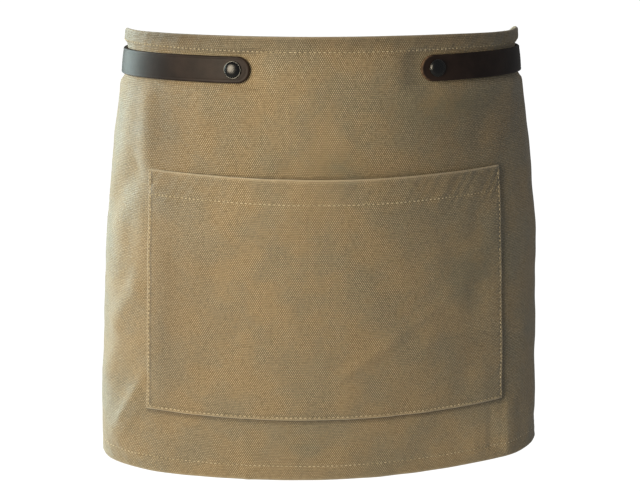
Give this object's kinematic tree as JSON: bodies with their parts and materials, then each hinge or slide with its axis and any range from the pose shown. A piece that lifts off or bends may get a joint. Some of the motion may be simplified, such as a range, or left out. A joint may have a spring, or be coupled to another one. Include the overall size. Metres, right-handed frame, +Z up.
{
  "type": "waist apron",
  "caption": "Short work apron of waxed canvas, worn at the waist, with a wide patch pocket and a leather strap riveted to the front and joined by a stud behind.",
  "frame": {"origin": "middle of the waist hollow, at the height of the leather strap's centre line", "axes": "+Z up when worn, the front with the pocket faces -Y, +X to the right as seen from the front"},
  "size_m": [0.3548, 0.2229, 0.3384],
  "materials": {
    "canvas": "waxed tan canvas in plain weave, matt with pale rubbed flecks",
    "strap_leather": "smooth dark brown leather, half gloss, with raw tan edges",
    "rivet_metal": "polished gunmetal"
  },
  "bodies": {
    "root": {"apron_panel": "canvas", "front_pocket": "canvas", "strap_left": "strap_leather", "strap_right": "strap_leather", "rivet_left": "rivet_metal", "rivet_right": "rivet_metal", "back_stud": "rivet_metal"}
  },
  "joints": []
}
